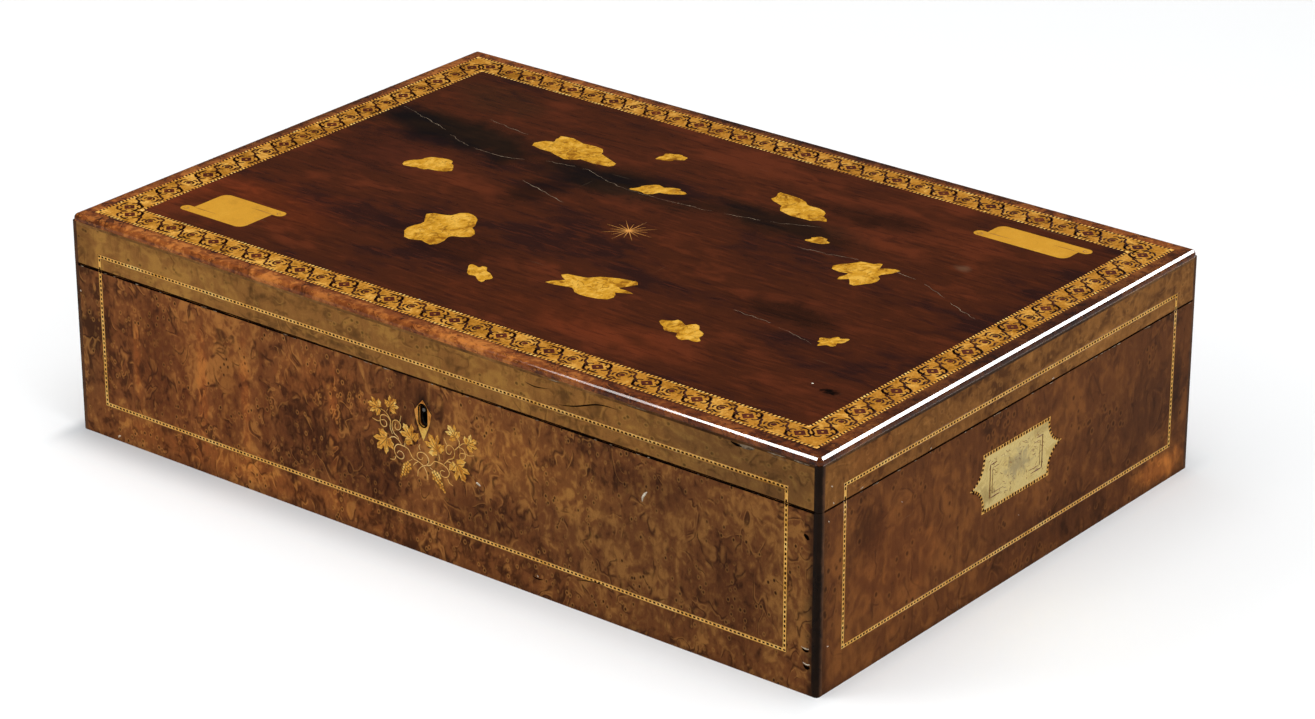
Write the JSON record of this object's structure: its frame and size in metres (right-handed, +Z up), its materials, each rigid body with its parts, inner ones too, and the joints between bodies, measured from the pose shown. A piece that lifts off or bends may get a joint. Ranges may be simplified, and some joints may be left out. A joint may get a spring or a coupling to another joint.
{
  "type": "marquetry document box",
  "caption": "Large flat wooden box with a hinged lid, burr veneered sides, chequer stringing, a marquetry lid, an inlaid keyhole with a vine spray, brass side plates and a box lock.",
  "frame": {"origin": "middle of the underside of the case, on the surface it stands on", "axes": "+X to the right of the front, +Y to the back, +Z up"},
  "size_m": [0.6, 0.4035, 0.1521],
  "materials": {
    "carcase": "French polished",
    "burr_veneer": "high gloss French polish",
    "field_veneer": "high gloss French polish",
    "moulding": "high gloss French polish",
    "ebonised": "ebonised and polished",
    "light_inlay": "polished",
    "gold_inlay": "polished",
    "tan_inlay": "polished",
    "plate_brass": "aged and scratched",
    "hinge_brass": "aged",
    "steel": "dull",
    "lining": "woollen cloth"
  },
  "bodies": {
    "case": {"bottom_screws": "steel", "case_back_board": "carcase", "case_bottom_board": "carcase", "case_corner_edgings": "ebonised", "case_front_board": "carcase", "case_front_stringing": "light_inlay", "case_front_veneer": "burr_veneer", "case_left_board": "carcase", "case_left_stringing": "light_inlay", "case_left_veneer": "burr_veneer", "case_right_board": "carcase", "case_right_stringing": "light_inlay", "case_right_veneer": "burr_veneer", "escutcheon": "tan_inlay", "floor_lining": "lining", "hinge_lower_screws": "hinge_brass", "left_hinge_lower_leaf": "hinge_brass", "left_hinge_pin": "steel", "left_plaque": "plate_brass", "lock_case": "steel", "lock_cover_plate": "hinge_brass", "lock_drill_pin": "steel", "lock_faceplate": "hinge_brass", "lock_screws": "hinge_brass", "lock_spring": "steel", "plaque_borders": "light_inlay", "right_hinge_lower_leaf": "hinge_brass", "right_hinge_pin": "steel", "right_plaque": "plate_brass", "vine_grapes": "gold_inlay", "vine_leaves": "gold_inlay", "wall_linings": "lining"},
    "lid": {"compass_star": "gold_inlay", "hinge_upper_screws": "hinge_brass", "island_inlays": "gold_inlay", "left_hinge_upper_leaf": "hinge_brass", "lid_back_rail": "carcase", "lid_border_bands": "gold_inlay", "lid_border_stringings": "light_inlay", "lid_corner_edgings": "ebonised", "lid_edge_line": "ebonised", "lid_edge_moulding": "moulding", "lid_front_rail": "carcase", "lid_front_stringing": "light_inlay", "lid_front_veneer": "burr_veneer", "lid_left_rail": "carcase", "lid_left_stringing": "light_inlay", "lid_left_veneer": "burr_veneer", "lid_lining": "lining", "lid_panel": "carcase", "lid_right_rail": "carcase", "lid_right_stringing": "light_inlay", "lid_right_veneer": "burr_veneer", "lid_top_veneer": "field_veneer", "link_plate_screws": "hinge_brass", "lock_link_plate": "hinge_brass", "right_hinge_upper_leaf": "hinge_brass", "scroll_inlays": "gold_inlay"},
    "bolt": {"lock_bolt": "hinge_brass"}
  },
  "joints": [
    {"name": "lid_hinge", "type": "hinge", "parent": "case", "child": "lid", "pos_m": [0, 0.2005, 0.11815], "axis": [-1, 0, 0], "range_deg": [0, 100]},
    {"name": "bolt_slide", "type": "slide", "parent": "case", "child": "bolt", "axis": [-1, 0, 0], "range_m": [0, 0.0032]}
  ]
}
